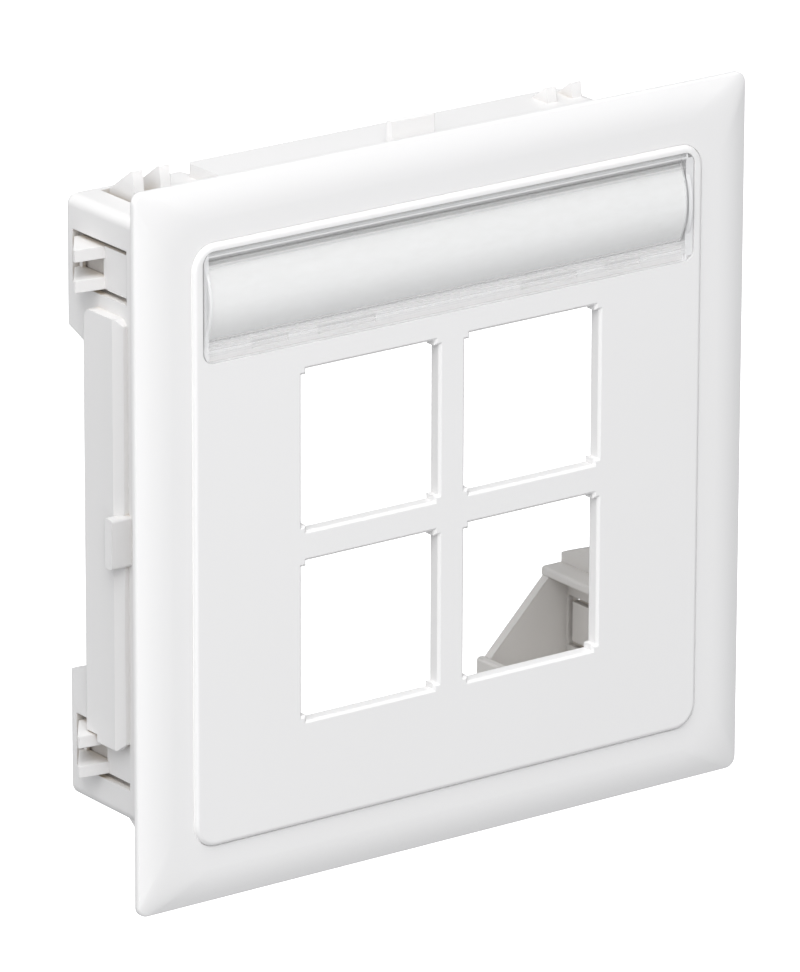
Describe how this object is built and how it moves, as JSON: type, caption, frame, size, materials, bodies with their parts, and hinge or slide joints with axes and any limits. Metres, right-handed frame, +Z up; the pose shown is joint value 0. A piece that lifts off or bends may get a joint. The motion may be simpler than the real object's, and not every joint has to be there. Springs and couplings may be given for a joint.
{
  "type": "keystone faceplate",
  "caption": "White square keystone faceplate with port openings, a clear label window and a snap-in carrier behind.",
  "frame": {"origin": "centre of the seating plane, where the back of the dress frame meets the wall or box", "axes": "-Y looks out of the wall towards the room, +Z is up with the label field at the top, +X is to the right of the face"},
  "size_m": [0.085, 0.0254, 0.085],
  "materials": {
    "white_plastic": "satin moulded white thermoplastic",
    "carrier_plastic": "satin moulded white thermoplastic",
    "clear_plastic": "clear polished thermoplastic",
    "label_paper": "plain matt label paper"
  },
  "bodies": {
    "root": {"outer_frame": "white_plastic", "centre_plate": "white_plastic", "label_window": "clear_plastic", "label_strip": "label_paper", "carrier": "carrier_plastic"}
  },
  "joints": []
}
